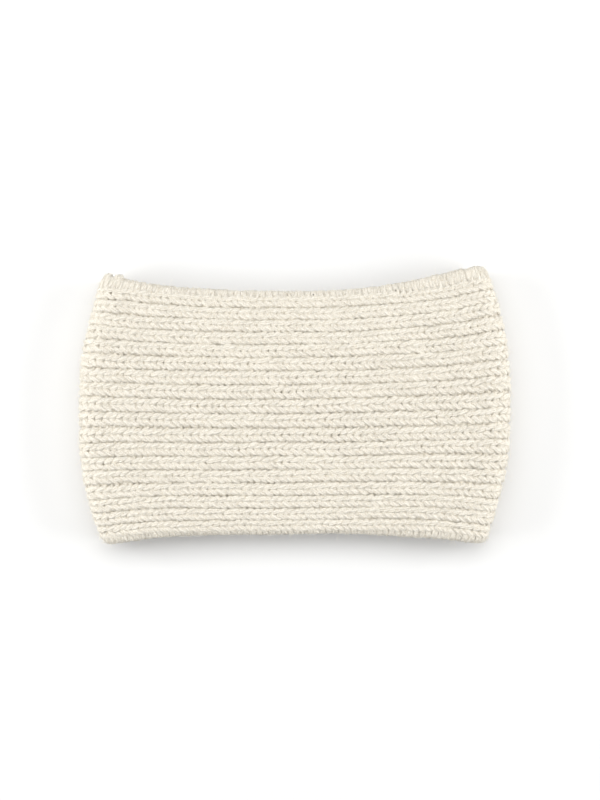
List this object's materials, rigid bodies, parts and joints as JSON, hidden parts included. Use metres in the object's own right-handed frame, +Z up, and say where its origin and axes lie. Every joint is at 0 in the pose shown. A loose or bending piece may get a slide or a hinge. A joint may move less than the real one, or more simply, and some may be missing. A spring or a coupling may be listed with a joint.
{
  "type": "ribbed knit ear warmer headband",
  "caption": "wide seamless tube of thick cream one-by-one rib knitting that warms the ears and brow, lying flat with its open rims to the front and back",
  "frame": {"origin": "centre of the bounding box at the surface the band lies on", "axes": "+X runs across the band from the left fold to the right fold, +Y runs along the head opening towards the upper rim, +Z up"},
  "size_m": [0.24, 0.1544, 0.024],
  "materials": {
    "knit_wool": "soft undyed wool, ribbed knit, matt with a light fuzz"
  },
  "bodies": {
    "root": {"knit_band": "knit_wool"}
  },
  "joints": []
}
